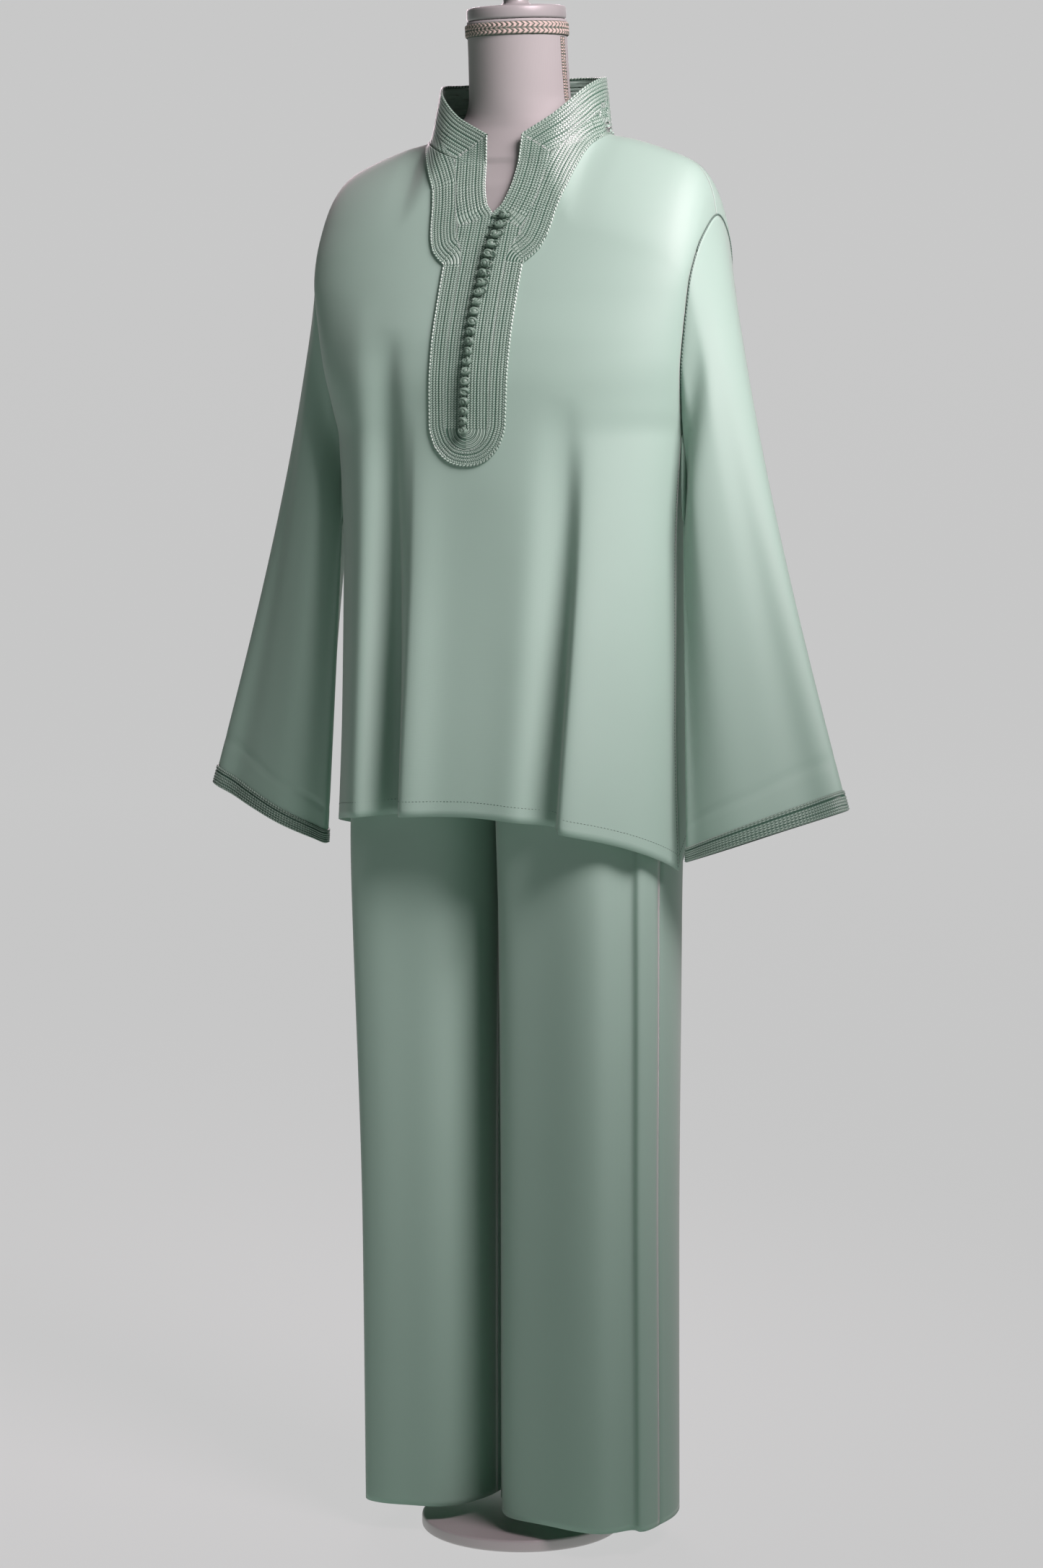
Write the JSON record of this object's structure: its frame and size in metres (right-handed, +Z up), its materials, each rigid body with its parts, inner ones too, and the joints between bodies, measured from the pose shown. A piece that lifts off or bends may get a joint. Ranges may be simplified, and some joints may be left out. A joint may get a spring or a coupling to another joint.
{
  "type": "jabador on a dress form",
  "caption": "Mint two-piece jabador: long-sleeved tunic with braided collar, plastron and knotted buttons, and wide straight trousers, shown on a limbless dress form.",
  "frame": {"origin": "centre of the base plate's underside, on the floor", "axes": "+Z up, -Y the way the form faces, +X to the wearer's left"},
  "size_m": [0.7112, 0.2902, 1.5862],
  "materials": {
    "mint_cloth": "smooth crepe with a soft sheen",
    "mint_braid": "satin braid cord in rows",
    "form_canvas": "plain cotton jersey",
    "neck_trim": "woven gimp braid",
    "cap_paint": "painted, semi-gloss",
    "stand_metal": "powder coated"
  },
  "bodies": {
    "root": {"tunic_front": "mint_cloth", "tunic_back": "mint_cloth", "sleeve_left": "mint_cloth", "sleeve_right": "mint_cloth", "waistband": "mint_cloth", "leg_front_left": "mint_cloth", "leg_back_left": "mint_cloth", "leg_front_right": "mint_cloth", "leg_back_right": "mint_cloth", "collar": "mint_braid", "plastron": "mint_braid", "cuff_braid_left": "mint_braid", "cuff_braid_right": "mint_braid", "button_01": "mint_braid", "button_02": "mint_braid", "button_03": "mint_braid", "button_04": "mint_braid", "button_05": "mint_braid", "button_06": "mint_braid", "button_07": "mint_braid", "button_08": "mint_braid", "button_09": "mint_braid", "button_10": "mint_braid", "button_11": "mint_braid", "button_12": "mint_braid", "button_13": "mint_braid", "button_14": "mint_braid", "button_15": "mint_braid", "button_16": "mint_braid", "button_17": "mint_braid", "button_18": "mint_braid", "button_19": "mint_braid", "button_20": "mint_braid", "button_21": "mint_braid", "button_22": "mint_braid", "button_23": "mint_braid", "form_body": "form_canvas", "neck_braid_ring": "neck_trim", "neck_braid_left": "neck_trim", "neck_braid_right": "neck_trim", "neck_cap": "cap_paint", "pole": "stand_metal", "base": "stand_metal"}
  },
  "joints": []
}
